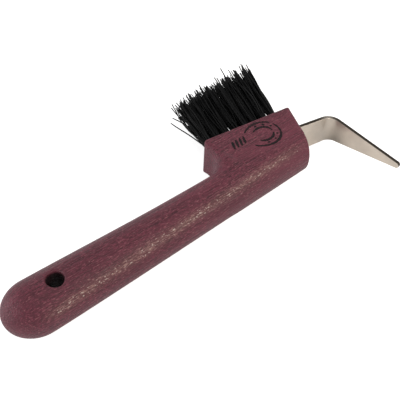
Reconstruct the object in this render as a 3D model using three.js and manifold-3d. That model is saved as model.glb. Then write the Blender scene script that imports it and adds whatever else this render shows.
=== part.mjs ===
// Hoof pick with a brush: a stained wooden handle and brush block, a bent flat steel pick set in
// the block's end, and a bristle brush whose tufts are folded round flat anchors in drilled holes.
// Millimetres. It lies on its side: +X runs from the round end to the pick, +Y is the way the
// bristles point, and +Z is up, through the handle's thickness. The pieces are laid out from the
// round end's tip, on the handle's axis, and the finished group is moved so that the origin is
// on the resting surface, under the middle of the whole object.

import * as THREE from "three";
import { mergeVertices } from "three/addons/utils/BufferGeometryUtils.js";
import Module from "manifold-3d";

const wasm = await Module();
wasm.setup();

// ---- Driving dimensions ----

const BODY_LENGTH = 181.1;          // round end to pick end, on the handle's axis
const FIT_GAP = 0.3;              // room left between a piece and the one that holds it

// Handle: half widths towards the bristles (front) and away from them (back), half thickness.
const CAP_LENGTH = 16;            // length of the rounded end
const FRONT_HALF_WIDTH_END = 13.7;
const FRONT_HALF_WIDTH_NECK = 12.2;
const FRONT_TAPER_END = 97;       // where the front edge has finished narrowing
const BACK_HALF_WIDTH_END = 14.2;
const BACK_HALF_WIDTH_PICK_END = 8.5;
const BACK_TAPER_CURVE = 1.25;    // above 1, the back edge bows out along its length
const BACK_TRIM = 1;              // how much leaner the back is at the very end
const BACK_TRIM_END = 20;         // where the back has its full width
const END_HALF_THICKNESS = 12.35;
const NECK_HALF_THICKNESS = 10.6;
const NECK_POSITION = 120;        // where the handle is thinnest
const SECTION_ROUNDNESS = 2.2;    // 2 is an ellipse, more is squarer
const HANG_HOLE_X = 27.6;
const HANG_HOLE_RADIUS = 4.3;

// Brush block: a slab on the front of the handle, with a slanting bristle face and pick end.
const BLOCK_HALF_THICKNESS = 11.5;
const BLOCK_START = 132.95;        // the block's handle side, on the handle's axis
const BLOCK_START_SLOPE = 0.05;   // mm along X for each mm along Y
const PICK_END_SLOPE = 0.352;
const FACE_Y_START = 28.6;        // height of the bristle face at its two ends
const FACE_Y_END = 21.5;
const FLAT_FROM_Y = 1;            // the block's sides are flat from here to the bristle face
const BLOCK_CORNER = 2.2;         // rounding of its corners, seen from above
const BLOCK_EDGE = 1;             // softening of its edges
const BACK_INSET = 0.1;           // the round back stands this much inside the block's faces

// Pick: one strip of steel, with its width along Z.
const STRIP_THICKNESS = 2;
const STRIP_WIDTH = 18.8;
const STRIP_BEND_WIDTH = 17.9;
const STRIP_TIP_WIDTH = 3.8;
const STRIP_Y = 8.35;              // where the strip's middle crosses x = BODY_LENGTH
const STRIP_ANGLE = -9.5;         // degrees from +X, before the bend
const PICK_ANGLE = -79.1;         // degrees from +X, after the bend
const STRAIGHT_LENGTH = 19.7;     // from x = BODY_LENGTH to the bend
const TAPER_START = 18.7;         // from x = BODY_LENGTH to where the strip starts to narrow
const BEND_RADIUS = 7.2;          // to the middle of the strip
const PICK_LENGTH = 39.9;         // from the bend to the tip
const TANG_LENGTH = 30;           // how far the strip reaches into the block
const NOTCH_DEPTH = 1.1;          // the pointed notches that bite in the block
const NOTCH_COUNT = 3;            // along each edge of the tang

// Brush: two rows of tufts, the lower row set half a pitch along.
const ROW_Z = 3.1;                // middle of the block to each row
const ROWS = [
  { name: "upper", z: ROW_Z, count: 8, shift: 0 },
  { name: "lower", z: -ROW_Z, count: 7, shift: 0.5 },
];
const FIRST_TUFT = 6.2;           // along the face from the block's handle side
const TUFT_PITCH = 5.97;
const HOLE_RADIUS = 2.5;
const HOLE_DEPTH = 9;
const TUFT_ROOT_RADIUS = HOLE_RADIUS - FIT_GAP;
const TUFT_TIP_RADIUS = 2.95;
const TRIM_Y_START = 62.6;        // height that the bristles are trimmed to, at the face's two ends
const TRIM_Y_END = 64;
const FAN_START = 0.3;            // degrees that the tufts lean along the block, at its two ends
const FAN_END = 8.9;
const ROW_FAN = 3.4;              // degrees that the rows lean apart
const ANCHOR = { length: 4.4, height: 1.8, thickness: 0.5, depth: 6.8 };

// ---- Shared geometry helpers ----

const { lerp, smoothstep, degToRad } = THREE.MathUtils;

/** A closed solid from a three.js geometry, with shared vertices merged. */
function solidOf(geometry) {
  const bare = geometry.index ? geometry.toNonIndexed() : geometry.clone();
  bare.deleteAttribute("normal");
  bare.deleteAttribute("uv");
  const merged = mergeVertices(bare);
  const triangles = [];
  for (let i = 0; i < merged.index.count; i += 3) {
    const [a, b, c] = [0, 1, 2].map((k) => merged.index.getX(i + k));
    if (a !== b && b !== c && c !== a) triangles.push(a, b, c);
  }
  return new wasm.Manifold(new wasm.Mesh({
    numProp: 3,
    vertProperties: new Float32Array(merged.attributes.position.array),
    triVerts: new Uint32Array(triangles),
  }));
}

/** A three.js geometry, flat shaded, from a solid. */
function geometryOf(solid) {
  const { vertProperties, triVerts } = solid.getMesh();
  const indexed = new THREE.BufferGeometry();
  indexed.setAttribute("position", new THREE.BufferAttribute(vertProperties, 3));
  indexed.setIndex(new THREE.BufferAttribute(triVerts, 1));
  const geometry = indexed.toNonIndexed();
  geometry.computeVertexNormals();
  return geometry;
}

/** A prism of a flat outline, centred on z = 0. */
function prism(shape, thickness, options = {}) {
  const bevel = options.bevel ?? 0;
  const geometry = new THREE.ExtrudeGeometry(shape, {
    depth: thickness - 2 * bevel,
    curveSegments: options.curveSegments ?? 6,
    bevelEnabled: bevel > 0,
    bevelThickness: bevel,
    bevelSize: bevel,
    bevelOffset: -bevel,
    bevelSegments: 2,
  });
  return geometry.translate(0, 0, bevel - thickness / 2);
}

/** A closed outline through the corners, each rounded by its own radius. */
function roundedOutline(corners) {
  const shape = new THREE.Shape();
  corners.forEach(({ at, radius }, i) => {
    const before = corners.at(i - 1).at;
    const after = corners[(i + 1) % corners.length].at;
    const start = at.clone().add(before.clone().sub(at).setLength(radius));
    const end = at.clone().add(after.clone().sub(at).setLength(radius));
    if (i === 0) shape.moveTo(start.x, start.y);
    else shape.lineTo(start.x, start.y);
    if (radius > 0) shape.quadraticCurveTo(at.x, at.y, end.x, end.y);
  });
  shape.closePath();
  return shape;
}

/** The unit vector at an angle from +X in the XY plane. */
function heading(degrees) {
  return new THREE.Vector2(Math.cos(degToRad(degrees)), Math.sin(degToRad(degrees)));
}

// ---- Places that several pieces share ----

/** A point on the block's pick end at a height y. */
function pickEnd(y) {
  return new THREE.Vector2(BODY_LENGTH + PICK_END_SLOPE * y, y);
}

/** A point on the block's handle side at a height y. */
function blockStart(y) {
  return new THREE.Vector2(BLOCK_START + BLOCK_START_SLOPE * y, y);
}

const faceStart = blockStart(FACE_Y_START);
const faceEnd = pickEnd(FACE_Y_END);
const faceAngle = faceEnd.clone().sub(faceStart).angle();

/** Puts a geometry built on the +Y axis into a hole of the bristle face. */
function placeOnFace(geometry, along, z) {
  const foot = faceStart.clone().lerp(faceEnd, along / faceStart.distanceTo(faceEnd));
  return geometry.rotateZ(faceAngle).translate(foot.x, foot.y, z);
}

/** Where each tuft stands: its row, its number and its distance along the bristle face. */
const tuftPlaces = ROWS.flatMap((row) => Array.from({ length: row.count }, (_, i) => ({
  name: `${row.name}_${i + 1}`,
  z: row.z,
  along: FIRST_TUFT + TUFT_PITCH * (i + row.shift),
})));

// ---- Body: handle and brush block ----

/** Half widths and half thickness of the handle's oval at x. */
function handleSection(x) {
  const backShare = Math.max(0, (x - CAP_LENGTH) / (BODY_LENGTH - CAP_LENGTH)) ** BACK_TAPER_CURVE;
  const neckHalf = lerp(END_HALF_THICKNESS, NECK_HALF_THICKNESS, smoothstep(x, 0, NECK_POSITION));
  const backHalf = BLOCK_HALF_THICKNESS - BACK_INSET;
  return {
    front: lerp(FRONT_HALF_WIDTH_END, FRONT_HALF_WIDTH_NECK, smoothstep(x, 0, FRONT_TAPER_END)),
    back: lerp(BACK_HALF_WIDTH_END, BACK_HALF_WIDTH_PICK_END, backShare)
      - BACK_TRIM * (1 - smoothstep(x, 0, BACK_TRIM_END)),
    half: lerp(neckHalf, backHalf, smoothstep(x, NECK_POSITION, BLOCK_START)),
  };
}

/** A coordinate of the rounded oval that the handle's section has. */
function oval(value) {
  return Math.sign(value) * Math.abs(value) ** (2 / SECTION_ROUNDNESS);
}

/** The whole length of the handle: a turned form, with each ring eased to the oval at its x. */
function handleGeometry() {
  const capSteps = 7;
  const ringSteps = 17;
  const sides = 28;
  const overrun = BODY_LENGTH + 10;
  const profile = [new THREE.Vector2(0, 0)];
  for (let i = 1; i <= capSteps; i += 1) {
    const angle = (i / capSteps) * Math.PI / 2;
    profile.push(new THREE.Vector2(Math.sin(angle), CAP_LENGTH * (1 - Math.cos(angle))));
  }
  for (let i = 1; i <= ringSteps; i += 1) {
    profile.push(new THREE.Vector2(1, lerp(CAP_LENGTH, overrun, i / ringSteps)));
  }
  profile.push(new THREE.Vector2(0, overrun));
  const geometry = new THREE.LatheGeometry(profile, sides);
  const points = geometry.attributes.position;
  for (let i = 0; i < points.count; i += 1) {
    const x = points.getY(i);
    const radius = Math.hypot(points.getX(i), points.getZ(i));
    const { front, back, half } = handleSection(x);
    const across = radius > 0 ? oval(points.getZ(i) / radius) : 0;
    const up = radius > 0 ? oval(points.getX(i) / radius) : 0;
    const middle = (front - back) / 2;
    points.setXYZ(i, x, middle + radius * across * (front + back) / 2, radius * up * half);
  }
  return geometry;
}

/** The slab that holds the brush, with softened corners and edges. */
function blockGeometry() {
  const outline = roundedOutline([
    { at: blockStart(FLAT_FROM_Y), radius: 0 },
    { at: pickEnd(FLAT_FROM_Y), radius: 0 },
    { at: faceEnd, radius: BLOCK_CORNER },
    { at: faceStart, radius: BLOCK_CORNER },
  ]);
  return prism(outline, 2 * BLOCK_HALF_THICKNESS, { bevel: BLOCK_EDGE });
}

/** What is past the pick end, to cut the handle's round back off along it. */
function pastPickEnd() {
  const size = 80;
  const cut = pickEnd(0);
  return new THREE.BoxGeometry(size, size, size)
    .translate(size / 2, 0, 0)
    .rotateZ(-Math.atan(PICK_END_SLOPE))
    .translate(cut.x - BACK_INSET, cut.y, 0);
}

/** The slot that holds the pick's tang. */
function tangSlot() {
  const mouth = 20;
  const length = TANG_LENGTH + FIT_GAP + mouth;
  return new THREE.BoxGeometry(length, STRIP_THICKNESS + 2 * FIT_GAP, STRIP_WIDTH + 2 * FIT_GAP)
    .translate(mouth - length / 2, 0, 0)
    .rotateZ(degToRad(STRIP_ANGLE))
    .translate(BODY_LENGTH, STRIP_Y, 0);
}

/** A drilled hole for one tuft. */
function tuftHole({ along, z }) {
  const overcut = 2;
  const hole = new THREE.CylinderGeometry(HOLE_RADIUS, HOLE_RADIUS, HOLE_DEPTH + overcut, 12);
  return placeOnFace(hole.translate(0, (overcut - HOLE_DEPTH) / 2, 0), along, z);
}

function bodyGeometry() {
  const hangHole = new THREE.CylinderGeometry(HANG_HOLE_RADIUS, HANG_HOLE_RADIUS, 40, 24)
    .rotateX(Math.PI / 2)
    .translate(HANG_HOLE_X, 0, 0);
  let body = solidOf(handleGeometry())
    .subtract(solidOf(pastPickEnd()))
    .add(solidOf(blockGeometry()))
    .subtract(solidOf(tangSlot()))
    .subtract(solidOf(hangHole));
  for (const place of tuftPlaces) body = body.subtract(solidOf(tuftHole(place)));
  return geometryOf(body);
}

// ---- Pick ----

const bendStart = new THREE.Vector2(BODY_LENGTH, STRIP_Y)
  .addScaledVector(heading(STRIP_ANGLE), STRAIGHT_LENGTH);
const bendCentre = bendStart.clone().addScaledVector(heading(STRIP_ANGLE - 90), BEND_RADIUS);
const bendEnd = bendCentre.clone().addScaledVector(heading(PICK_ANGLE + 90), BEND_RADIUS);
const bendLength = BEND_RADIUS * degToRad(STRIP_ANGLE - PICK_ANGLE);
const tipLength = STRAIGHT_LENGTH + bendLength + PICK_LENGTH;

/** The strip's middle at a length from x = BODY_LENGTH, and its direction there in degrees. */
function stripPlace(length) {
  const past = length - STRAIGHT_LENGTH;
  if (past <= 0) {
    return { at: bendStart.clone().addScaledVector(heading(STRIP_ANGLE), past), angle: STRIP_ANGLE };
  }
  if (past >= bendLength) {
    const at = bendEnd.clone().addScaledVector(heading(PICK_ANGLE), past - bendLength);
    return { at, angle: PICK_ANGLE };
  }
  const angle = lerp(STRIP_ANGLE, PICK_ANGLE, past / bendLength);
  return { at: bendCentre.clone().addScaledVector(heading(angle + 90), BEND_RADIUS), angle };
}

/** Half widths of the flat blank: notched tang, straight part, then a taper to a round tip. */
function blankWidths() {
  const half = STRIP_WIDTH / 2;
  const tipRadius = STRIP_TIP_WIDTH / 2;
  const taperEnd = tipLength - tipRadius;
  const widths = [{ length: -TANG_LENGTH, half }];
  for (let i = NOTCH_COUNT; i > 0; i -= 1) {
    const notch = (-TANG_LENGTH * i) / (NOTCH_COUNT + 1);
    widths.push(
      { length: notch - NOTCH_DEPTH, half },
      { length: notch, half: half - NOTCH_DEPTH },
      { length: notch + NOTCH_DEPTH, half },
    );
  }
  widths.push({ length: 0, half }, { length: TAPER_START, half: STRIP_BEND_WIDTH / 2 });
  const bendSteps = 12;
  for (let i = 0; i <= bendSteps + 1; i += 1) {
    const length = i > bendSteps ? taperEnd : STRAIGHT_LENGTH + (bendLength * i) / bendSteps;
    const share = (length - TAPER_START) / (taperEnd - TAPER_START);
    widths.push({ length, half: lerp(STRIP_BEND_WIDTH / 2, tipRadius, share) });
  }
  for (const degrees of [20, 40, 60, 75, 86]) {
    const turn = degToRad(degrees);
    widths.push({ length: taperEnd + tipRadius * Math.sin(turn), half: tipRadius * Math.cos(turn) });
  }
  return widths;
}

/** The bent strip: a four-cornered ring at each width of the blank, joined in order. */
function pickGeometry() {
  const rings = blankWidths();
  const points = rings.flatMap(({ length, half }) => {
    const { at, angle } = stripPlace(length);
    const side = heading(angle + 90).multiplyScalar(STRIP_THICKNESS / 2);
    return [[1, 1], [1, -1], [-1, -1], [-1, 1]]
      .flatMap(([face, edge]) => [at.x + face * side.x, at.y + face * side.y, edge * half]);
  });
  const triangles = [0, 1, 2, 0, 2, 3];
  for (let ring = 0; ring + 1 < rings.length; ring += 1) {
    for (let corner = 0; corner < 4; corner += 1) {
      const a = 4 * ring + corner;
      const b = 4 * ring + ((corner + 1) % 4);
      triangles.push(a, a + 4, b + 4, a, b + 4, b);
    }
  }
  const last = 4 * (rings.length - 1);
  triangles.push(last, last + 2, last + 1, last, last + 3, last + 2);
  const geometry = new THREE.BufferGeometry();
  geometry.setAttribute("position", new THREE.Float32BufferAttribute(points, 3));
  geometry.setIndex(triangles);
  return geometryOf(solidOf(geometry));
}

// ---- Brush ----

/** One tuft: a root in its hole, folded round the anchor, and bristles that spread to the trim. */
function tuftGeometry({ along, z }) {
  const share = along / faceStart.distanceTo(faceEnd);
  const foot = faceStart.clone().lerp(faceEnd, share);
  const length = (lerp(TRIM_Y_START, TRIM_Y_END, share) - foot.y) / Math.cos(faceAngle);
  const root = HOLE_DEPTH - FIT_GAP;
  const profile = [
    new THREE.Vector2(0, -root),
    new THREE.Vector2(TUFT_ROOT_RADIUS, -root),
    new THREE.Vector2(TUFT_ROOT_RADIUS, 0),
    new THREE.Vector2(TUFT_TIP_RADIUS, length),
    new THREE.Vector2(0, length),
  ];
  const window = new THREE.BoxGeometry(
    4 * HOLE_RADIUS,
    ANCHOR.height + 2 * FIT_GAP,
    ANCHOR.thickness + 2 * FIT_GAP,
  ).translate(0, -ANCHOR.depth, 0);
  const geometry = geometryOf(solidOf(new THREE.LatheGeometry(profile, 12)).subtract(solidOf(window)));
  const leanAlong = Math.tan(degToRad(lerp(FAN_START, FAN_END, share)));
  const leanAcross = Math.tan(degToRad((ROW_FAN * z) / ROW_Z));
  const points = geometry.attributes.position;
  for (let i = 0; i < points.count; i += 1) {
    const height = Math.max(0, points.getY(i));
    points.setX(i, points.getX(i) + height * leanAlong);
    points.setZ(i, points.getZ(i) + height * leanAcross);
  }
  return placeOnFace(geometry, along, z);
}

/** The flat wire across the bottom of a hole that its tuft is folded round. */
function anchorGeometry({ along, z }) {
  const plate = new THREE.BoxGeometry(ANCHOR.length, ANCHOR.height, ANCHOR.thickness);
  return placeOnFace(plate.translate(0, -ANCHOR.depth, 0), along, z);
}

// ---- Materials and the finished group ----

function stainedWood() {
  return new THREE.MeshStandardMaterial({ color: 0x67404a, roughness: 0.6, metalness: 0 });
}

function platedSteel() {
  return new THREE.MeshStandardMaterial({ color: 0xc4b8ac, roughness: 0.35, metalness: 1 });
}

function blackBristle() {
  return new THREE.MeshStandardMaterial({ color: 0x101011, roughness: 0.5, metalness: 0 });
}

function anchorWire() {
  return new THREE.MeshStandardMaterial({ color: 0x9a9a98, roughness: 0.4, metalness: 1 });
}

/** Adds one named piece to a group. */
function addPiece(group, name, geometry, material) {
  const mesh = new THREE.Mesh(geometry, material);
  mesh.name = name;
  group.add(mesh);
}

const layout = new THREE.Group();
addPiece(layout, "body", bodyGeometry(), stainedWood());
addPiece(layout, "pick_blade", pickGeometry(), platedSteel());
for (const place of tuftPlaces) {
  addPiece(layout, `tuft_${place.name}`, tuftGeometry(place), blackBristle());
  addPiece(layout, `anchor_${place.name}`, anchorGeometry(place), anchorWire());
}

const box = new THREE.Box3().setFromObject(layout);
const middle = box.getCenter(new THREE.Vector3());
layout.position.set(-middle.x, -middle.y, -box.min.z);

const group = new THREE.Group();
group.add(layout);

export default group;
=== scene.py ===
"""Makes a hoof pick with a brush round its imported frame, and sets it on a pale studio floor."""
import math

import bmesh
import bpy
import numpy as np
from bpy.props import FloatProperty, FloatVectorProperty, IntProperty, PointerProperty
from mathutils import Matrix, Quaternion, Vector


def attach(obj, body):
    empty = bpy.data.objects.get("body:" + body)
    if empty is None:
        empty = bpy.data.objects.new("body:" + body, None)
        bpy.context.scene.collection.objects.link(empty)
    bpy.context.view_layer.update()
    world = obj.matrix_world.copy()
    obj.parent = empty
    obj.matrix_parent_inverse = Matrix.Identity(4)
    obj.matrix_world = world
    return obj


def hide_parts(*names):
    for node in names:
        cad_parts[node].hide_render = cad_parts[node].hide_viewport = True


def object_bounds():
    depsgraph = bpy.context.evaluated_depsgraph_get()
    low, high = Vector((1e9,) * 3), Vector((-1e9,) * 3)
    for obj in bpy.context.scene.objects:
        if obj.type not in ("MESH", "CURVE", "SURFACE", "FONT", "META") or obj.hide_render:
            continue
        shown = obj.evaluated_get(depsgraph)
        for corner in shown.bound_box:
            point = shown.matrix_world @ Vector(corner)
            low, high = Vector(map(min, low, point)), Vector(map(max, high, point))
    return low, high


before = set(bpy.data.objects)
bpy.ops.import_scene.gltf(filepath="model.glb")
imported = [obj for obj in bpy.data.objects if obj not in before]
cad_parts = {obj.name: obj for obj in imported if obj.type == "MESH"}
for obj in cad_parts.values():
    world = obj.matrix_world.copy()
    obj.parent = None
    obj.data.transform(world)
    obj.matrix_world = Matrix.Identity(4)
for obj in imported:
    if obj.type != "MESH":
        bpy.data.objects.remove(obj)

bl_info = {
    "name": "Hoof Pick Maker",
    "version": (1, 0, 0),
    "blender": (4, 5, 0),
    "location": "3D View > Sidebar > Hoof Pick",
    "description": "Makes a hoof pick with a wooden body, a steel pick and a bristle brush",
    "category": "Object",
}

FRAME_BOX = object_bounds()

MM = 0.001

# ---- Driving sizes, in millimetres from the round end's tip, on the handle's axis ----

BODY_LENGTH = 181.1
CAP_LENGTH = 16.0
FRONT_HALF_WIDTH_END = 13.7
FRONT_HALF_WIDTH_NECK = 12.2
FRONT_TAPER_END = 97.0
BACK_HALF_WIDTH_END = 14.2
BACK_HALF_WIDTH_PICK_END = 8.5
BACK_TAPER_CURVE = 1.25
BACK_TRIM = 1.0
BACK_TRIM_END = 20.0
END_HALF_THICKNESS = 12.35
NECK_HALF_THICKNESS = 10.6
NECK_POSITION = 120.0
SECTION_ROUNDNESS = 2.2
HANG_HOLE_X = 27.6
HANG_HOLE_RADIUS = 4.3

BLOCK_HALF_THICKNESS = 11.5
BLOCK_START = 132.95
BLOCK_START_SLOPE = 0.05
PICK_END_SLOPE = 0.352
FACE_Y_START = 28.6
FACE_Y_END = 21.5
BLOCK_LOWEST_Y = 1.2
BLOCK_CORNER_RADIUS = 2.4
BLOCK_NECK_SOFTENING = 2.5
BLOCK_FILLET_RADIUS = 8.5
PICK_END_SOFTENING = 0.5
HANG_HOLE_RIM_RADIUS = 1.1
TUFT_HOLE_RIM_RADIUS = 0.25

STRIP_THICKNESS = 2.0
STRIP_WIDTH = 18.8
STRIP_BEND_WIDTH = 17.9
STRIP_TIP_WIDTH = 3.8
STRIP_Y = 8.35
STRIP_ANGLE = -9.5
PICK_ANGLE = -79.1
STRAIGHT_LENGTH = 19.7
TAPER_START = 18.7
BEND_RADIUS = 7.2
PICK_LENGTH = 39.9
TANG_LENGTH = 30.0
NOTCH_DEPTH = 1.1
NOTCH_COUNT = 3
TANG_CLEARANCE = 0.12

ROW_Z = 3.1
FIRST_TUFT = 6.2
TUFT_PITCH = 5.97
HOLE_RADIUS = 2.5
HOLE_DEPTH = 9.0
TRIM_Y_START = 62.6
TRIM_Y_END = 64.0
FAN_START = 0.3
FAN_END = 8.9
ROW_FAN = 3.4
ANCHOR_DEPTH = 6.8
ANCHOR_HEIGHT = 1.8
ANCHOR_THICKNESS = 0.5
STRAY_TIP = (-4.9, -3.1)
STRAY_COUNT = 2
ROWS = (("upper", ROW_Z, 8, 0.0), ("lower", -ROW_Z, 7, 0.5))


# ---- Places ----

def axis_start():
    """Where the handle's axis starts: level with the tip of its round end."""
    tip = min((v.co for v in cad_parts["body"].data.vertices), key=lambda co: co.x)
    off_axis = (FRONT_HALF_WIDTH_END - BACK_HALF_WIDTH_END + BACK_TRIM) / 2 * MM
    return Vector((tip.x, tip.y - off_axis, tip.z))


ORIGIN = axis_start()


def place(x, y, z):
    """A point of the object, in metres, from its millimetres along the handle."""
    return ORIGIN + Vector((x, y, z)) * MM


def place_all(points):
    """Many points at once, as an array in metres."""
    return np.asarray(points, float) * MM + np.array(ORIGIN)


def heading(degrees):
    """The unit vector at an angle from +X in the plane of the handle."""
    return np.array([math.cos(math.radians(degrees)), math.sin(math.radians(degrees))])


FACE_START = np.array([BLOCK_START + BLOCK_START_SLOPE * FACE_Y_START, FACE_Y_START])
FACE_END = np.array([BODY_LENGTH + PICK_END_SLOPE * FACE_Y_END, FACE_Y_END])
FACE_LENGTH = float(np.hypot(*(FACE_END - FACE_START)))
FACE_ALONG = (FACE_END - FACE_START) / FACE_LENGTH
FACE_OUT = np.array([-FACE_ALONG[1], FACE_ALONG[0]])


def tuft_places():
    """Each tuft's name, its distance along the bristle face and its height."""
    for row, z, count, shift in ROWS:
        for i in range(count):
            yield f"{row}_{i + 1}", FIRST_TUFT + TUFT_PITCH * (i + shift), z


# ---- Sizes and colours that a user would change ----

class WoodSettings(bpy.types.PropertyGroup):
    """The stained wooden body."""

    grid: FloatProperty(
        name="Surface grid", description="Spacing of the body's surface, in millimetres",
        default=0.56, min=0.4, max=2.0)
    edge_radius: FloatProperty(
        name="Edge radius", description="Softening of the block's edges, in millimetres",
        default=0.9, min=0.2, max=3.0)
    stain: FloatVectorProperty(
        name="Stain", description="Main colour of the stained wood",
        subtype="COLOR", size=3, default=(0.143, 0.0285, 0.0475), min=0.0, max=1.0)
    pore: FloatVectorProperty(
        name="Pore", description="Colour in the open pores of the grain",
        subtype="COLOR", size=3, default=(0.060, 0.0105, 0.019), min=0.0, max=1.0)
    # The fleck colour serves the grain's paler fibres, and also the painted glints within the
    # painted highlight band.
    fleck: FloatVectorProperty(
        name="Fleck", description="Colour of the raised fibres that took less stain",
        subtype="COLOR", size=3, default=(0.34, 0.19, 0.165), min=0.0, max=1.0)
    # The band's colour is a painted highlight along each shoulder.
    highlight_band: FloatVectorProperty(
        name="Highlight band", description="Colour of the paler band along each shoulder",
        subtype="COLOR", size=3, default=(0.20, 0.086, 0.080), min=0.0, max=1.0)


class SteelSettings(bpy.types.PropertyGroup):
    """The steel pick."""

    edge_radius: FloatProperty(
        name="Edge radius", description="Rounding of the strip's edges, in millimetres",
        default=0.26, min=0.05, max=0.9)
    face: FloatVectorProperty(
        name="Face", description="Colour of the strip's two faces",
        subtype="COLOR", size=3, default=(0.78, 0.695, 0.605), min=0.0, max=1.0)
    # The cut edges' dark colour is a painted reflection.
    painted_edge_reflection: FloatVectorProperty(
        name="Edge reflection", description="Colour of the strip's cut edges",
        subtype="COLOR", size=3, default=(0.075, 0.062, 0.050), min=0.0, max=1.0)
    roughness: FloatProperty(
        name="Roughness", description="Roughness of the steel faces",
        subtype="FACTOR", default=0.34, min=0.0, max=1.0)


class BristleSettings(bpy.types.PropertyGroup):
    """The brush."""

    count: IntProperty(
        name="Bristles", description="Bristle ends in each tuft", default=50, min=6, max=80)
    diameter: FloatProperty(
        name="Diameter", description="Diameter of one bristle",
        subtype="DISTANCE", unit="LENGTH", default=0.00066, min=0.0002, max=0.001)
    unevenness: FloatProperty(
        name="Unevenness", description="How far the tips differ in height",
        subtype="DISTANCE", unit="LENGTH", default=0.0019, min=0.0, max=0.005)
    colour: FloatVectorProperty(
        name="Colour", description="Colour of the bristles",
        subtype="COLOR", size=3, default=(0.0015, 0.0015, 0.0018), min=0.0, max=1.0)
    seed: IntProperty(
        name="Seed", description="Seed of the bristles' spread", default=7, min=0)


class StudioSettings(bpy.types.PropertyGroup):
    """The floor, the lights and the camera."""

    floor_colour: FloatVectorProperty(
        name="Floor", description="Colour of the studio floor",
        subtype="COLOR", size=3, default=(0.80, 0.80, 0.80), min=0.0, max=1.0)
    floor_glow: FloatProperty(
        name="Floor glow", description="How much brighter the camera sees the floor",
        default=0.78, min=0.0, max=3.0)
    key_power: FloatProperty(
        name="Key light", description="Power of the key light, in watts",
        subtype="POWER", default=2.2, min=0.0, max=100.0)
    fill_power: FloatProperty(
        name="Fill light", description="Power of the light from the left, in watts",
        subtype="POWER", default=2.2, min=0.0, max=100.0)
    lens: FloatProperty(
        name="Lens", description="Focal length, in millimetres", default=69.77, min=20.0, max=200.0)


class HoofPickSettings(bpy.types.PropertyGroup):
    """Everything that a user can change."""

    wood: PointerProperty(type=WoodSettings)
    steel: PointerProperty(type=SteelSettings)
    bristles: PointerProperty(type=BristleSettings)
    studio: PointerProperty(type=StudioSettings)


# ---- Material helpers ----

def new_material(name):
    """A node material, its tree and its shader."""
    material = bpy.data.materials.new(name)
    material.use_nodes = True
    tree = material.node_tree
    return material, tree, tree.nodes["Principled BSDF"]


def add_node(tree, kind, inputs=None, **settings):
    """A node with its settings and its unlinked inputs."""
    node = tree.nodes.new(kind)
    for key, value in settings.items():
        setattr(node, key, value)
    for key, value in (inputs or {}).items():
        node.inputs[key].default_value = value
    return node


def stretched_coordinates(tree, scale):
    """Object coordinates scaled differently along each axis, in features per metre."""
    source = add_node(tree, "ShaderNodeTexCoord")
    mapping = add_node(tree, "ShaderNodeMapping", {"Scale": scale})
    tree.links.new(source.outputs["Object"], mapping.inputs["Vector"])
    return mapping.outputs["Vector"]


def noise(tree, scale, detail=2.0, roughness=0.5, distortion=0.0):
    """Noise with its own scale along each axis."""
    node = add_node(tree, "ShaderNodeTexNoise", {
        "Scale": 1.0, "Detail": detail, "Roughness": roughness, "Distortion": distortion})
    tree.links.new(stretched_coordinates(tree, scale), node.inputs["Vector"])
    return node.outputs["Fac"]


def surface_value(tree, name):
    """A number that is stored at each point of the piece."""
    return add_node(tree, "ShaderNodeAttribute", attribute_name=name).outputs["Fac"]


def computed(tree, operation, *values):
    """The result of one sum. Each value is a number or a socket."""
    node = add_node(tree, "ShaderNodeMath", operation=operation)
    for socket, value in zip(node.inputs, values):
        if isinstance(value, bpy.types.NodeSocket):
            tree.links.new(value, socket)
        else:
            socket.default_value = value
    return node.outputs[0]


def ramp(tree, value, low, high):
    """A value stretched so that low gives 0 and high gives 1."""
    node = add_node(tree, "ShaderNodeMapRange", {"From Min": low, "From Max": high}, clamp=True)
    tree.links.new(value, node.inputs["Value"])
    return node.outputs["Result"]


def mix_colour(tree, factor, first, second):
    """Two colours mixed by a factor. Each colour is a tuple or a socket."""
    node = add_node(tree, "ShaderNodeMix", data_type="RGBA")
    tree.links.new(factor, node.inputs["Factor"])
    for socket, colour in ((node.inputs[6], first), (node.inputs[7], second)):
        if isinstance(colour, bpy.types.NodeSocket):
            tree.links.new(colour, socket)
        else:
            socket.default_value = (*colour, 1.0)
    return node.outputs[2]


def mix_value(tree, factor, first, second):
    """A number that runs from first to second as the factor goes from 0 to 1."""
    node = add_node(tree, "ShaderNodeMapRange", {"To Min": first, "To Max": second}, clamp=True)
    tree.links.new(factor, node.inputs["Value"])
    return node.outputs["Result"]


def scaled(colour, factor):
    """A colour made lighter or darker, never past white."""
    return tuple(min(1.0, c * factor) for c in colour)


def bump(tree, height, strength, distance, below=None):
    """A bump from a height, on top of an earlier bump."""
    node = add_node(tree, "ShaderNodeBump", {"Strength": strength, "Distance": distance})
    tree.links.new(height, node.inputs["Height"])
    if below is not None:
        tree.links.new(below, node.inputs["Normal"])
    return node.outputs["Normal"]


def link_shader(tree, shader, **sockets):
    """Links sockets to the shader's inputs, named with underscores for spaces."""
    for name, socket in sockets.items():
        tree.links.new(socket, shader.inputs[name.replace("_", " ")])


def set_shader(shader, **values):
    """Sets constants on the shader's inputs, named with underscores for spaces."""
    for name, value in values.items():
        shader.inputs[name.replace("_", " ")].default_value = value


# ---- Materials ----

# Noise scales, in features per metre along X, Y and Z. The wood's grain runs along X.
GRAIN_LINES = (24, 1350, 1350)
GRAIN_MOTTLE = (650, 1500, 1500)
GRAIN_BANDS = (14, 230, 230)
GRAIN_BLOTCHES = (30, 55, 55)
GRAIN_FIBRES = (420, 2300, 2300)
INK_GRAIN = (300, 1500, 1500)
ROLLING_LINES = (120, 120, 2200)
STEEL_CLOUDS = (90, 90, 90)
BRISTLE_VARIATION = (400, 400, 400)
DRAWN_LINES = (300, 2500, 2500)
FLOOR_CLOTH = (30, 30, 30)

# BARE_WOOD_AND_GLINT colours the pale specks: bare wood in places, and painted glints within the
# painted highlight band.
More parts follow.
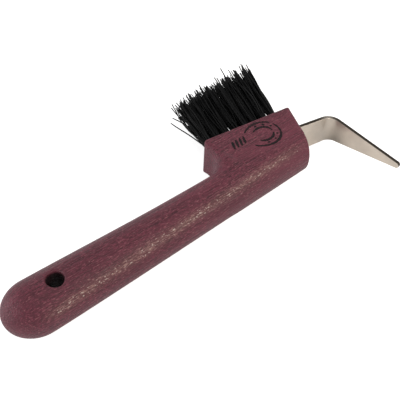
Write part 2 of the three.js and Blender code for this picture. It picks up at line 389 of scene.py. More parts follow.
BARE_WOOD_AND_GLINT = (0.62, 0.50, 0.44)
INK, WORN_INK = (0.012, 0.010, 0.011), (0.05, 0.02, 0.025)
WIRE, DULL_WIRE = (0.62, 0.60, 0.57), (0.46, 0.44, 0.41)
# How much the painted highlight band raises the glinting flecks, the pale specks and its own paler
# colour.
PAINTED_BAND_TO_FLECKS = 0.135
PAINTED_BAND_TO_SPECKS = 0.12
PAINTED_BAND_TO_COLOUR = 0.34


def stained_wood(settings):
    """Matt burgundy-stained wood whose open grain runs along the handle, with a painted highlight
    band on each shoulder.
    """
    material, tree, shader = new_material("stained_wood")
    lines = noise(tree, GRAIN_LINES, detail=2, roughness=0.6)
    mottle = noise(tree, GRAIN_MOTTLE, detail=2, roughness=0.6)
    bands = noise(tree, GRAIN_BANDS, detail=2)
    blotches = noise(tree, GRAIN_BLOTCHES, detail=3)
    fibres = noise(tree, GRAIN_FIBRES, detail=2, roughness=0.6)
    # Painted highlight: a paler band along each shoulder, which also raises glinting flecks and
    # pale specks there.
    painted_band = surface_value(tree, "painted_band")
    pores = computed(
        tree, "MULTIPLY", ramp(tree, lines, 0.54, 0.41), surface_value(tree, "side_grain"))
    # Pale flecks and specks: grain everywhere, and painted glints within the painted highlight
    # band.
    flecks_and_glints = computed(tree, "MULTIPLY_ADD", painted_band, PAINTED_BAND_TO_FLECKS, fibres)
    specks_and_glints = computed(tree, "MULTIPLY_ADD", painted_band, PAINTED_BAND_TO_SPECKS, mottle)
    stain = tuple(settings.stain)
    tone = stain
    for share, colour in (
        # Painted shade: darker at the round end and along the back.
        (surface_value(tree, "painted_shade"), scaled(stain, 0.75)),
        (pores, tuple(settings.pore)),
        (ramp(tree, mottle, 0.50, 0.72), scaled(stain, 1.5)),
        (ramp(tree, fibres, 0.54, 0.70), scaled(stain, 1.85)),
        (ramp(tree, bands, 0.50, 0.85), scaled(stain, 1.35)),
        (ramp(tree, blotches, 0.50, 0.85), scaled(stain, 0.74)),
        # The painted highlight band, then its painted glints, which elsewhere are the grain's
        # flecks and specks.
        (computed(tree, "MULTIPLY", painted_band, PAINTED_BAND_TO_COLOUR), tuple(settings.highlight_band)),
        (ramp(tree, flecks_and_glints, 0.62, 0.82), tuple(settings.fleck)),
        (ramp(tree, specks_and_glints, 0.745, 0.785), BARE_WOOD_AND_GLINT),
        # Painted shade: the walls of the drilled holes are painted nearly black.
        (surface_value(tree, "hole_shade"), scaled(stain, 0.10)),
    ):
        tone = mix_colour(tree, share, tone, colour)
    relief = bump(tree, lines, 0.8, 0.0006)
    relief = bump(tree, mottle, 0.35, 0.0003, relief)
    relief = bump(tree, fibres, 0.40, 0.00025, relief)
    rough = mix_value(tree, lines, 0.30, 0.54)
    link_shader(tree, shader, Base_Color=tone, Roughness=rough, Normal=relief)
    set_shader(
        shader, Specular_IOR_Level=0.38, Sheen_Weight=0.08, Sheen_Roughness=0.35,
        Sheen_Tint=(1.0, 0.86, 0.9, 1.0))
    return material


def pressed_ink():
    """Black left in the strokes of the pressed mark."""
    material, tree, shader = new_material("pressed_ink")
    grain = noise(tree, INK_GRAIN, detail=2)
    tone = mix_colour(tree, ramp(tree, grain, 0.45, 0.72), INK, WORN_INK)
    link_shader(tree, shader, Base_Color=tone, Normal=bump(tree, grain, 0.3, 0.0002))
    set_shader(shader, Roughness=0.7, Specular_IOR_Level=0.2)
    return material


def plated_steel(settings):
    """Satin plated steel, with a painted dark reflection on its cut edges and painted shade inside
    its bend.
    """
    material, tree, shader = new_material("plated_steel")
    rolling = noise(tree, ROLLING_LINES, detail=3, roughness=0.6)
    clouds = noise(tree, STEEL_CLOUDS, detail=3, roughness=0.55)
    tone = tuple(settings.face)
    for share, colour in (
        (ramp(tree, clouds, 0.35, 0.70), scaled(settings.face, 0.84)),
        (surface_value(tree, "bend_shade"), scaled(settings.face, 0.34)),
        # Painted reflection: the cut edges are painted dark.
        (surface_value(tree, "painted_edge_reflection"), tuple(settings.painted_edge_reflection)),
    ):
        tone = mix_colour(tree, share, tone, colour)
    rough = computed(tree, "MULTIPLY_ADD", rolling, 0.16, settings.roughness - 0.08)
    relief = bump(tree, rolling, 0.10, 0.00012)
    link_shader(tree, shader, Base_Color=tone, Roughness=rough, Normal=relief)
    set_shader(shader, Metallic=1.0)
    return material


def black_bristle(settings):
    """Black synthetic bristle, a little different from one to the next."""
    material, tree, shader = new_material("black_bristle")
    length = noise(tree, BRISTLE_VARIATION, detail=2)
    paler = tuple(c * 2.0 + 0.03 for c in settings.colour)
    share = ramp(tree, surface_value(tree, "bristle_tone"), 0.45, 0.85)
    tone = mix_colour(tree, share, tuple(settings.colour), paler)
    rough = mix_value(tree, length, 0.32, 0.50)
    relief = bump(tree, length, 0.1, 0.0001)
    link_shader(tree, shader, Base_Color=tone, Roughness=rough, Normal=relief)
    set_shader(shader, Specular_IOR_Level=0.16)
    return material


def anchor_wire():
    """Bright flat wire, drawn lengthwise."""
    material, tree, shader = new_material("anchor_wire")
    drawn = noise(tree, DRAWN_LINES, detail=2)
    tone = mix_colour(tree, drawn, WIRE, DULL_WIRE)
    link_shader(tree, shader, Base_Color=tone, Roughness=mix_value(tree, drawn, 0.25, 0.45))
    set_shader(shader, Metallic=1.0)
    return material


# ---- Mesh helpers ----

def new_piece(name, vertices, faces, material, smooth=True, attributes=None):
    """A mesh object from points in metres, riding on the object's one body."""
    mesh = bpy.data.meshes.new(name)
    mesh.from_pydata([tuple(v) for v in vertices], [], [tuple(f) for f in faces])
    for key, values in (attributes or {}).items():
        layer = mesh.attributes.new(key, "FLOAT", "POINT")
        layer.data.foreach_set("value", np.asarray(values, np.float32))
    mesh.polygons.foreach_set("use_smooth", np.full(len(mesh.polygons), smooth))
    mesh.materials.append(material)
    mesh.update()
    piece = bpy.data.objects.new(name, mesh)
    bpy.context.scene.collection.objects.link(piece)
    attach(piece, "root")
    return piece


def joined(parts):
    """Many pairs of vertices and faces as one pair."""
    vertices, faces, offset = [], [], 0
    for points, sides in parts:
        vertices.append(points)
        faces += [tuple(i + offset for i in face) for face in sides]
        offset += len(points)
    return np.concatenate(vertices), faces


def ring_faces(rings, size, clockwise=False):
    """The side faces and two end faces of a solid made of rings of vertices."""
    faces = []
    for k in range(rings - 1):
        for j in range(size):
            a, b = k * size + j, k * size + (j + 1) % size
            side = (a, a + size, b + size, b) if clockwise else (a, b, b + size, a + size)
            faces.append(side)
    first, last = tuple(range(size)), tuple(range((rings - 1) * size, rings * size))
    faces += [first, last[::-1]] if clockwise else [first[::-1], last]
    return faces


# ---- The body's shape, as distances in millimetres ----

def ease(x, low, high):
    """0 below low, 1 above high and smooth between."""
    share = np.clip((x - low) / (high - low), 0.0, 1.0)
    return share * share * (3 - 2 * share)


def rounded_and(a, b, radius):
    """Where both distances are inside, with the edge rounded."""
    corner = np.hypot(np.maximum(a + radius, 0), np.maximum(b + radius, 0))
    return np.minimum(-radius, np.maximum(a, b)) + corner


def rounded_or(a, b, radius):
    """Where either distance is inside, with the inner corner filled."""
    corner = np.hypot(np.maximum(radius - a, 0), np.maximum(radius - b, 0))
    return np.maximum(radius, np.minimum(a, b)) - corner


def handle_distance(x, y, z):
    """The handle's oval, with its rounded end."""
    past_cap = np.clip((x - CAP_LENGTH) / (BODY_LENGTH - CAP_LENGTH), 0, None)
    back_share = past_cap ** BACK_TAPER_CURVE
    front_share = ease(x, 0, FRONT_TAPER_END)
    front = FRONT_HALF_WIDTH_END + (FRONT_HALF_WIDTH_NECK - FRONT_HALF_WIDTH_END) * front_share
    back = BACK_HALF_WIDTH_END + (BACK_HALF_WIDTH_PICK_END - BACK_HALF_WIDTH_END) * back_share
    back -= BACK_TRIM * (1 - ease(x, 0, BACK_TRIM_END))
    neck_share = ease(x, 0, NECK_POSITION)
    neck = END_HALF_THICKNESS + (NECK_HALF_THICKNESS - END_HALF_THICKNESS) * neck_share
    half = neck + (BLOCK_HALF_THICKNESS - neck) * ease(x, NECK_POSITION, BLOCK_START)
    across = np.abs(y - (front - back) / 2) / ((front + back) / 2)
    up = np.abs(z) / half
    n = SECTION_ROUNDNESS
    oval = (across ** n + up ** n) ** (1 / n)
    in_cap = np.maximum(CAP_LENGTH - x, 0) / CAP_LENGTH
    return (np.hypot(oval, in_cap) - 1) * np.minimum(half, (front + back) / 2)


def slanted_distances(x, y):
    """Distances past the block's handle side, its bristle face and the pick end."""
    start = (BLOCK_START + BLOCK_START_SLOPE * y - x) / math.hypot(1, BLOCK_START_SLOPE)
    face = (x - FACE_START[0]) * FACE_OUT[0] + (y - FACE_START[1]) * FACE_OUT[1]
    end = (x - BODY_LENGTH - PICK_END_SLOPE * y) / math.hypot(1, PICK_END_SLOPE)
    return start, face, end


def solid_distance(x, y, z, edge):
    """The handle and block before any hole is cut."""
    start, face, end = slanted_distances(x, y)
    plan = rounded_and(start, face, BLOCK_CORNER_RADIUS)
    side = np.abs(z) - BLOCK_HALF_THICKNESS
    softer = BLOCK_NECK_SOFTENING * ease(start, -9, -2) * ease(-face, 0, 6)
    block = rounded_and(plan, side, edge + softer)
    block = np.maximum(block, BLOCK_LOWEST_Y - y)
    fillet = 0.15 + BLOCK_FILLET_RADIUS * ease(y, 1.5, 13) * ease(start, -10, -3)
    whole = rounded_or(handle_distance(x, y, z), block, fillet)
    return rounded_and(whole, end, edge + PICK_END_SOFTENING)


def slot_distance(x, y, z):
    """The slot that the tang is pressed into."""
    dx, dy = x - BODY_LENGTH, y - STRIP_Y
    cos, sin = heading(STRIP_ANGLE)
    along, across = dx * cos + dy * sin, -dx * sin + dy * cos
    return np.maximum.reduce([
        -along - TANG_LENGTH - TANG_CLEARANCE,
        np.abs(across) - STRIP_THICKNESS / 2 - TANG_CLEARANCE,
        np.abs(z) - STRIP_WIDTH / 2 - TANG_CLEARANCE,
    ])


def tuft_holes_distance(x, y, z):
    """All the drilled holes of the brush."""
    along = (x - FACE_START[0]) * FACE_ALONG[0] + (y - FACE_START[1]) * FACE_ALONG[1]
    depth = (x - FACE_START[0]) * FACE_OUT[0] + (y - FACE_START[1]) * FACE_OUT[1]
    nearest = np.full(np.shape(x), 1e3)
    for _, row_z, count, shift in ROWS:
        turns = np.clip(np.round((along - FIRST_TUFT) / TUFT_PITCH - shift), 0, count - 1)
        centre = FIRST_TUFT + TUFT_PITCH * (turns + shift)
        nearest = np.minimum(nearest, np.hypot(along - centre, z - row_z) - HOLE_RADIUS)
    return np.maximum(nearest, -depth - HOLE_DEPTH)


def hang_hole_distance(x, y):
    """The round hanging hole, which runs right through."""
    return np.hypot(x - HANG_HOLE_X, y) - HANG_HOLE_RADIUS


def body_distance(points, edge):
    """Below 0 inside the finished wooden body."""
    x, y, z = points[..., 0], points[..., 1], points[..., 2]
    body = solid_distance(x, y, z, edge)
    body = rounded_and(body, -hang_hole_distance(x, y), HANG_HOLE_RIM_RADIUS)
    body = np.maximum(body, -slot_distance(x, y, z))
    return rounded_and(body, -tuft_holes_distance(x, y, z), TUFT_HOLE_RIM_RADIUS)


# ---- Where the wood's colour changes, as shares from 0 to 1 ----

# Where the painted highlight band runs round the handle.
BAND_ANGLE = 27.0
BAND_TURN = 0.26
BAND_WIDTH = 12.0


def hole_shade_share(points):
    """Painted shade: 1 on the walls of the drilled holes, which are painted nearly black, and 0
    outside.
    """
    x, y, z = points[:, 0], points[:, 1], points[:, 2]
    hang = ease(-hang_hole_distance(x, y), -0.8, -0.15)
    deep = ease(-solid_distance(x, y, z, 1.0), 0.5, 2.5)
    tufts = ease(-tuft_holes_distance(x, y, z), -0.4, -0.1) * ease(deep, 0.0, 0.4)
    return np.maximum(hang * deep, tufts)


def painted_band_share(points):
    """Painted highlight: 1 along the paler, flecked band painted on each shoulder of the handle,
    fading to 0 beside it.

    The band's angle round the handle starts at BAND_ANGLE degrees from the back and turns by
    BAND_TURN degrees a millimetre.
    """
    x, y, z = points[:, 0], points[:, 1], points[:, 2]
    angle = np.degrees(np.arctan2(np.abs(z), -y))
    off_middle = (angle - BAND_ANGLE - BAND_TURN * (x - CAP_LENGTH)) / BAND_WIDTH
    return np.exp(-off_middle ** 2) * ease(x, 10, 24) * (1 - ease(x, 160, 180))


def painted_shade_share(points):
    """Painted shade: 1 at the round end and along the back, which are painted darker, fading to 0
    on the block.
    """
    x, y = points[:, 0], points[:, 1]
    return np.maximum(1 - ease(x, 60, 145), 1 - ease(y, -8.5, -1))


# ---- Surface of a distance ----

def grid_values(distance, low, high, step):
    """The distance at each point of a grid that spans low to high."""
    counts = np.ceil((high - low) / step).astype(int) + 1
    axes = [low[k] + step * np.arange(counts[k]) for k in range(3)]
    values = np.empty(counts)
    for i, x in enumerate(axes[0]):
        y, z = np.meshgrid(axes[1], axes[2], indexing="ij")
        values[i] = distance(np.stack([np.full_like(y, x), y, z], axis=-1))
    return values


def surface_vertices(values):
    """One vertex in each cell that the surface crosses, in cell units, with its number."""
    shape = np.array(values.shape) - 1
    total, hits = np.zeros((*shape, 3)), np.zeros(shape)
    inside = values < 0
    for axis in range(3):
        ahead = [slice(None)] * 3
        behind = [slice(None)] * 3
        ahead[axis], behind[axis] = slice(1, None), slice(None, -1)
        first, second = values[tuple(behind)], values[tuple(ahead)]
        crossed = inside[tuple(behind)] != inside[tuple(ahead)]
        share = np.where(crossed, first / np.where(crossed, first - second, 1), 0)
        others = [k for k in range(3) if k != axis]
        for near in (0, 1):
            for far in (0, 1):
                pick = [slice(None)] * 3
                pick[others[0]] = slice(near, near + shape[others[0]])
                pick[others[1]] = slice(far, far + shape[others[1]])
                on_edge = crossed[tuple(pick)]
                hits += on_edge
                total[..., axis] += share[tuple(pick)]
                total[..., others[0]] += on_edge * near
                total[..., others[1]] += on_edge * far
    active = hits > 0
    cells = np.argwhere(active)
    vertices = cells + total[active] / hits[active][:, None]
    numbers = np.full(tuple(shape), -1)
    numbers[active] = np.arange(len(cells))
    return vertices, numbers


def surface_quads(values, numbers):
    """A quad round each grid edge that the surface crosses, facing out."""
    inside = values < 0
    quads = []
    for axis in range(3):
        u, v = (axis + 1) % 3, (axis + 2) % 3
        behind, ahead = [slice(1, -1)] * 3, [slice(1, -1)] * 3
        behind[axis], ahead[axis] = slice(None, -1), slice(1, None)
        first, second = inside[tuple(behind)], inside[tuple(ahead)]
        for leaving in (True, False):
            edges = np.argwhere(first & ~second if leaving else second & ~first)
            corner = edges.copy()
            corner[:, u] += 1
            corner[:, v] += 1
            ring = []
            for du, dv in ((-1, -1), (0, -1), (0, 0), (-1, 0)):
                cell = corner.copy()
                cell[:, u] += du
                cell[:, v] += dv
                ring.append(numbers[cell[:, 0], cell[:, 1], cell[:, 2]])
            quads.append(np.stack(ring if leaving else ring[::-1], axis=1))
    return np.concatenate(quads)


def settle(points, distance, step, rounds=5):
    """Moves points onto the surface, each by less than a grid step a round."""
    probe = 0.02
    flattest = 0.05
    limit = 0.35 * step
    for _ in range(rounds):
        value = distance(points)
        slope = np.stack([
            (distance(points + probe * axis) - distance(points - probe * axis)) / (2 * probe)
            for axis in np.eye(3)
        ], axis=-1)
        steep = np.maximum((slope ** 2).sum(-1), flattest)
        move = -(value / steep)[:, None] * slope
        size = np.linalg.norm(move, axis=1)
        move *= np.minimum(1, limit / np.maximum(size, 1e-9))[:, None]
        points = points + move
    return points


# ---- Body ----

BODY_LOW = np.array([-2.0, -17.0, -14.5])
BODY_HIGH = np.array([FACE_END[0] + 3, FACE_Y_START + 3, 14.5])


class HOOFPICK_OT_body(bpy.types.Operator):
    """Make the wooden handle and brush block, with its holes and slot"""

    bl_idname = "hoofpick.body"
    bl_label = "Handle and Block"

    def execute(self, context):
        settings = context.scene.hoof_pick.wood
        step = settings.grid

        def distance(points):
            return body_distance(points, settings.edge_radius)

        values = grid_values(distance, BODY_LOW, BODY_HIGH, step)
        cells, numbers = surface_vertices(values)
        quads = surface_quads(values, numbers)
        points = settle(BODY_LOW + cells * step, distance, step)
        shares = {
            # The walls of the drilled holes get painted shade.
            "hole_shade": hole_shade_share(points),
            # The shoulders' paler band is a painted highlight.
            "painted_band": painted_band_share(points),
            "side_grain": ease(points[:, 0], 3, 22),
            # The round end and the back get painted shade.
            "painted_shade": painted_shade_share(points),
        }
        body = new_piece(
            "wooden_body", place_all(points), quads.tolist(), stained_wood(settings),
            attributes=shares)
        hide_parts("body")
        return {"FINISHED"}


# ---- Pressed mark: a plain horseshoe with a few loose strokes ----

MARK_CENTRE = (163.5, 13.6)
MARK_HEIGHT = 0.03
MARK_DEPTH = 0.3
MARK_SEED = 11
STROKE_WIDTH = 1.5
SHOE_SPAN = 286
SHOE_REACH = 0.18
SHOE_FLATTENING = 0.9
SHOE_OUTER_RADIUS = 9.4
SHOE_INNER_RADIUS = 5.4
SHOE_NAILS = (0.16, 0.28, 0.40, 0.60, 0.72, 0.84)
NAIL_RADII = (6.8, 8.0)
LOOSE_STROKES = 4
LOOSE_FOOT, LOOSE_SHIFT, LOOSE_REACH = (-19.5, -2.6), (2.4, 0.3), (1.5, 5.4)


def ribbon(path, widths):
    """A flat stroke along a path, sunk a little in the block's side, as vertices and faces."""
    path = np.asarray(path, float)
    along = np.gradient(path, axis=0)
    along /= np.linalg.norm(along, axis=1)[:, None]
    side = np.stack([-along[:, 1], along[:, 0]], axis=1) * np.asarray(widths)[:, None] / 2
    low, top = BLOCK_HALF_THICKNESS - MARK_DEPTH, BLOCK_HALF_THICKNESS + MARK_HEIGHT
    rings = []
    for left, right in zip(path + side, path - side):
        rings.append([(*right, low), (*right, top), (*left, top), (*left, low)])
    return np.array(rings).reshape(-1, 3), ring_faces(len(path), 4, clockwise=True)


def horseshoe_point(share, radius):
    """A point of a horseshoe: an arc with two legs that close in a little."""
    angle = (share - 0.5) * math.radians(SHOE_SPAN)
    squeeze = 1 + SHOE_REACH * (1 - math.cos(angle)) / 2
    return np.array([
        radius * math.cos(angle) * squeeze, radius * SHOE_FLATTENING * math.sin(angle)])


def mark_strokes(rng):
    """The strokes of the mark, each as a path and its width along the way."""
    strokes = []
    for radius, start, stop in (
        (SHOE_OUTER_RADIUS, 0.0, 0.60), (SHOE_OUTER_RADIUS, 0.64, 1.0),
        (SHOE_INNER_RADIUS, 0.03, 0.44), (SHOE_INNER_RADIUS, 0.50, 0.97),
    ):
        strokes.append([horseshoe_point(s, radius) for s in np.linspace(start, stop, 34)])
    for share in SHOE_NAILS:
        strokes.append([horseshoe_point(share, r) for r in np.linspace(*NAIL_RADII, 5)])
    for k in range(LOOSE_STROKES):
        foot = np.array(LOOSE_FOOT) + np.array(LOOSE_SHIFT) * k
        strokes.append([foot + np.array(LOOSE_REACH) * s for s in np.linspace(0, 1, 8)])
    cos, sin = FACE_ALONG
    for path in strokes:
        path = np.array([(x * cos - y * sin, x * sin + y * cos) for x, y in path])
        ends = np.sin(np.linspace(0.12, math.pi - 0.12, len(path))) ** 0.4
        widths = STROKE_WIDTH * ends * (1 + 0.2 * rng.standard_normal(len(path)))
        yield path + np.array(MARK_CENTRE), np.clip(widths, 0.5, 2.0)


class HOOFPICK_OT_mark(bpy.types.Operator):
    """Make the plain horseshoe mark that is pressed in the block's side"""

    bl_idname = "hoofpick.mark"
    bl_label = "Pressed Mark"

    def execute(self, context):
        rng = np.random.default_rng(MARK_SEED)
        vertices, faces = joined(ribbon(path, widths) for path, widths in mark_strokes(rng))
        mark = new_piece(
            "pressed_mark", place_all(vertices), faces, pressed_ink(), smooth=False)
        return {"FINISHED"}


# ---- Steel pick ----

BEND_START = np.array([BODY_LENGTH, STRIP_Y]) + heading(STRIP_ANGLE) * STRAIGHT_LENGTH
BEND_CENTRE = BEND_START + heading(STRIP_ANGLE - 90) * BEND_RADIUS
BEND_END = BEND_CENTRE + heading(PICK_ANGLE + 90) * BEND_RADIUS
BEND_LENGTH = BEND_RADIUS * math.radians(STRIP_ANGLE - PICK_ANGLE)
TIP_LENGTH = STRAIGHT_LENGTH + BEND_LENGTH + PICK_LENGTH


def strip_place(length):
    """The strip's middle at a length from the block's end, and its heading there in degrees."""
    past = length - STRAIGHT_LENGTH
    if past <= 0:
        return BEND_START + heading(STRIP_ANGLE) * past, STRIP_ANGLE
    if past >= BEND_LENGTH:
        return BEND_END + heading(PICK_ANGLE) * (past - BEND_LENGTH), PICK_ANGLE
    angle = STRIP_ANGLE + (PICK_ANGLE - STRIP_ANGLE) * past / BEND_LENGTH
    return BEND_CENTRE + heading(angle + 90) * BEND_RADIUS, angle


def blank_widths():
    """Lengths along the strip, each with the half width there, from the tang to the tip."""
    half, tip_radius = STRIP_WIDTH / 2, STRIP_TIP_WIDTH / 2
    taper_end = TIP_LENGTH - tip_radius
    yield -TANG_LENGTH, half
    for i in range(NOTCH_COUNT, 0, -1):
        notch = -TANG_LENGTH * i / (NOTCH_COUNT + 1)
        yield notch - NOTCH_DEPTH, half
        yield notch, half - NOTCH_DEPTH
        yield notch + NOTCH_DEPTH, half
    bend_half = STRIP_BEND_WIDTH / 2
    for length in np.linspace(0, TAPER_START, 8):
        yield length, half + (bend_half - half) * length / TAPER_START
    bend = np.linspace(STRAIGHT_LENGTH, STRAIGHT_LENGTH + BEND_LENGTH, 29)
    leg = np.linspace(STRAIGHT_LENGTH + BEND_LENGTH + 1, taper_end, 32)
    for length in (*bend, *leg):
        share = (length - TAPER_START) / (taper_end - TAPER_START)
        yield length, bend_half + (tip_radius - bend_half) * share
    for turn in np.radians(np.linspace(8, 88, 11)):
        yield taper_end + tip_radius * math.sin(turn), tip_radius * math.cos(turn)


def strip_section(half_width, half_thickness, radius):
    """The strip's rounded section: each point's place across its thickness and along its
    width, and how far it is on a cut edge."""
    radius = min(radius, half_width * 0.98, half_thickness * 0.98)
    ring = []
    for corner, (a, b) in enumerate(((1, 1), (-1, 1), (-1, -1), (1, -1))):
        centre = (a * (half_thickness - radius), b * (half_width - radius))
        for step in range(5):
            angle = math.radians(90 * corner + 22.5 * step)
            across, along = math.cos(angle), math.sin(angle)
            ring.append((centre[0] + radius * across, centre[1] + radius * along, abs(along)))
    return ring


def painted_edge_glint(past_bend):
    """Painted reflection: how much paler the dark cut edge is painted near the start of the bend.
    """
    return 0.6 * math.exp(-((past_bend + 0.75 * BEND_LENGTH) / 3.0) ** 2)


def bend_shade(past_bend, up):
    """How dark the strip is by the end of the bend, most on its lower side."""
    low = 0.50 - 0.50 * up / (STRIP_WIDTH / 2)
    return math.exp(-(past_bend / 5.5) ** 2) * low


class HOOFPICK_OT_pick(bpy.types.Operator):
    """Make the steel pick: tang, bend and tapered point"""

    bl_idname = "hoofpick.pick"
    bl_label = "Steel Pick"

    def execute(self, context):
        settings = context.scene.hoof_pick.steel
        vertices, edge, bend, rings = [], [], [], 0
        half_thickness = STRIP_THICKNESS / 2
        for length, half_width in blank_widths():
            middle, angle = strip_place(length)
            normal = heading(angle + 90)
            past_bend = length - STRAIGHT_LENGTH - BEND_LENGTH
            # Painted reflection: the cut edges are painted dark, and paler near the start of the
            # bend.
            dark = 1 - painted_edge_glint(past_bend)
            for across, up, side in strip_section(half_width, half_thickness, settings.edge_radius):
                point = middle + normal * across
                vertices.append((point[0], point[1], up))
                edge.append(min(1.0, max(0.0, (side - 0.55) / 0.4)) * dark)
                bend.append(bend_shade(past_bend, up))
            rings += 1
        faces = ring_faces(rings, len(vertices) // rings, clockwise=True)
        pick = new_piece(
            "steel_pick", place_all(vertices), faces, plated_steel(settings),
            attributes={"painted_edge_reflection": edge, "bend_shade": bend})
        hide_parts("pick_blade")
        return {"FINISHED"}


# ---- Brush ----

ROOT_REACH = 2.1
ROOT_SQUEEZE = 0.86
TIP_SPREAD, TIP_SPREAD_VARIATION = 1.36, 0.35
TIP_SCATTER = 1.05
STRAY_SCATTER = 0.6
SHORT_SHARE, SHORT_BY = 0.06, 4
BOW, BENT_SHARE, BENT_BOW = 0.8, 0.15, 2.2
RIPPLE, RIPPLE_TURNS = 0.16, 9
TUBE_SIDES = 6
TIP_TAPER = 0.82


def bristle_path(rng, along, z, spot, uneven, stray=False):
    """One bristle from its fold in the hole to its tip, as points in millimetres."""
    share = along / FACE_LENGTH
    foot = FACE_START + FACE_ALONG * along
    lean_along = math.tan(math.radians(FAN_START + (FAN_END - FAN_START) * share))
    lean_across = math.tan(math.radians(ROW_FAN * z / ROW_Z))
    trim = TRIM_Y_START + (TRIM_Y_END - TRIM_Y_START) * share
    height = (trim - foot[1]) / FACE_OUT[1] + rng.normal(0.1, uneven)
    if rng.random() < SHORT_SHARE:
        height -= abs(rng.normal(0, SHORT_BY))
    root = spot * ROOT_SQUEEZE
    spread = rng.normal(TIP_SPREAD, TIP_SPREAD_VARIATION)
    lean = height * np.array([lean_along, lean_across])
    tip = spot * spread + lean + rng.normal(0, TIP_SCATTER, 2)
    bow = rng.normal(0, BOW, 2) * (BENT_BOW if rng.random() < BENT_SHARE else 1.0)
    ripple = rng.normal(0, RIPPLE, 2)
    if stray:
        height *= 0.97
        tip = spot + np.array(STRAY_TIP) + rng.normal(0, STRAY_SCATTER, 2)
    phase = rng.uniform(0, 2 * math.pi, 2)
    side = 1.0 if root[1] >= 0 else -1.0
    clear = ANCHOR_THICKNESS / 2 + 0.32
    past_anchor = side * max(clear, abs(root[1]) * 0.8)
    fold = -(ANCHOR_DEPTH + ANCHOR_HEIGHT / 2 + 0.35 + 0.25 * abs(root[1]))
    points = [
        (root[0] * 0.9, 0.0, fold),
        (root[0] * 0.9, side * clear, fold + 0.25),
        (root[0] * 0.95, past_anchor, -ANCHOR_DEPTH + ANCHOR_HEIGHT / 2 + 0.4),
        (root[0], root[1], -2.0),
        (root[0], root[1], 0.0),
    ]
    for part in np.linspace(0.12, 1.0, 8):
        wave = bow * math.sin(math.pi * part) + ripple * np.sin(RIPPLE_TURNS * part + phase)
        across = root + (tip - root) * part ** 1.12 + wave
        points.append((across[0], across[1], height * part))
    return np.array([
        (*(foot + FACE_ALONG * u + FACE_OUT * out), z + w) for u, w, out in points])


def tube(path, radius):
    """A thin closed tube along a path, with a blunt tip, as vertices and faces."""
    along = np.gradient(path, axis=0)
    along /= np.linalg.norm(along, axis=1)[:, None]
    first = np.cross(along, (1.0, 0.15, 0.3))
    first /= np.linalg.norm(first, axis=1)[:, None]
    second = np.cross(along, first)
    radii = np.full(len(path), radius)
    radii[-1] *= TIP_TAPER
    turn = np.arange(TUBE_SIDES) * 2 * math.pi / TUBE_SIDES
    cos, sin = np.cos(turn)[None, :, None], np.sin(turn)[None, :, None]
    ring = first[:, None] * cos + second[:, None] * sin
    vertices = (path[:, None] + ring * radii[:, None, None]).reshape(-1, 3)
    return vertices, ring_faces(len(path), TUBE_SIDES)


class HOOFPICK_OT_brush(bpy.types.Operator):
    """Make the bristle tufts, each folded round its anchor"""

    bl_idname = "hoofpick.brush"
    bl_label = "Brush"

    def execute(self, context):
        settings = context.scene.hoof_pick.bristles
        material = black_bristle(settings)
        rng = np.random.default_rng(settings.seed)
        golden = math.pi * (3 - math.sqrt(5))
        for name, along, z in tuft_places():
            parts, tones = [], []
            for i in range(settings.count):
                reach = ROOT_REACH * math.sqrt((i + 0.5) / settings.count)
                spot = reach * np.array([math.cos(i * golden), math.sin(i * golden)])
                stray = name == "upper_1" and i >= settings.count - STRAY_COUNT
                path = bristle_path(rng, along, z, spot, settings.unevenness / MM, stray)
                radius = settings.diameter / MM / 2 * rng.uniform(0.85, 1.15)
                parts.append(tube(path, radius))
                tones += [float(rng.beta(1.2, 4.0))] * len(parts[-1][0])
            vertices, faces = joined(parts)
            tuft = new_piece(
                f"bristles_{name}", place_all(vertices), faces, material,
                attributes={"bristle_tone": tones})
            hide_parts(f"tuft_{name}")
        return {"FINISHED"}


class HOOFPICK_OT_anchors(bpy.types.Operator):
    """Give the anchors at the bottom of the holes their wire finish"""

    bl_idname = "hoofpick.anchors"
    bl_label = "Tuft Anchors"

    def execute(self, context):
        material = anchor_wire()
        for name, _, _ in tuft_places():
            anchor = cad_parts[f"anchor_{name}"]
            anchor.data.materials.clear()
            anchor.data.materials.append(material)
        return {"FINISHED"}


# ---- Studio ----

WHITE = (1.0, 1.0, 1.0, 1.0)
FLOOR_SIZE = 20.0
FLOOR_GAP = 0.0002
FLOOR_OWN_GLOW = 0.18
HORIZON_STRENGTH, OVERHEAD_STRENGTH = 0.60, 0.58
CAMERA_SPOT = (-52.2, -189.0, 296.6)
CAMERA_AIM = (114.36, 5.09, 0.0)
CAMERA_ROLL = 2.87
KEY_DIRECTION, KEY_COLOUR = (0.378, -0.63, 0.74), (1.0, 0.92, 0.80)
FILL_DIRECTION = (-0.80, 0.55, 0.25)
LIGHT_DISTANCE = 0.9


def floor_material(settings):
    """A pale sheet that the camera sees a little brighter than its own light makes it."""
    material, tree, shader = new_material("studio_floor")
    cloth = noise(tree, FLOOR_CLOTH, detail=2)
    paler = scaled(settings.floor_colour, 1.02)
    tone = mix_colour(tree, cloth, tuple(settings.floor_colour), paler)
    seen = add_node(tree, "ShaderNodeLightPath").outputs["Is Camera Ray"]
    glow = mix_value(tree, seen, FLOOR_OWN_GLOW, settings.floor_glow)
    link_shader(tree, shader, Base_Color=tone, Emission_Strength=glow)
    set_shader(shader, Roughness=0.9, Specular_IOR_Level=0.1, Emission_Color=WHITE)
    return material


def add_floor(settings):
    """A wide floor under the object."""
    mesh = bpy.data.meshes.new("studio_floor")
    shape = bmesh.new()
    bmesh.ops.create_grid(shape, x_segments=8, y_segments=8, size=FLOOR_SIZE)
    shape.to_mesh(mesh)
    shape.free()
    mesh.materials.append(floor_material(settings))
    floor = bpy.data.objects.new("studio_floor", mesh)
    floor.location.z = FRAME_BOX[0].z - FLOOR_GAP
    bpy.context.scene.collection.objects.link(floor)


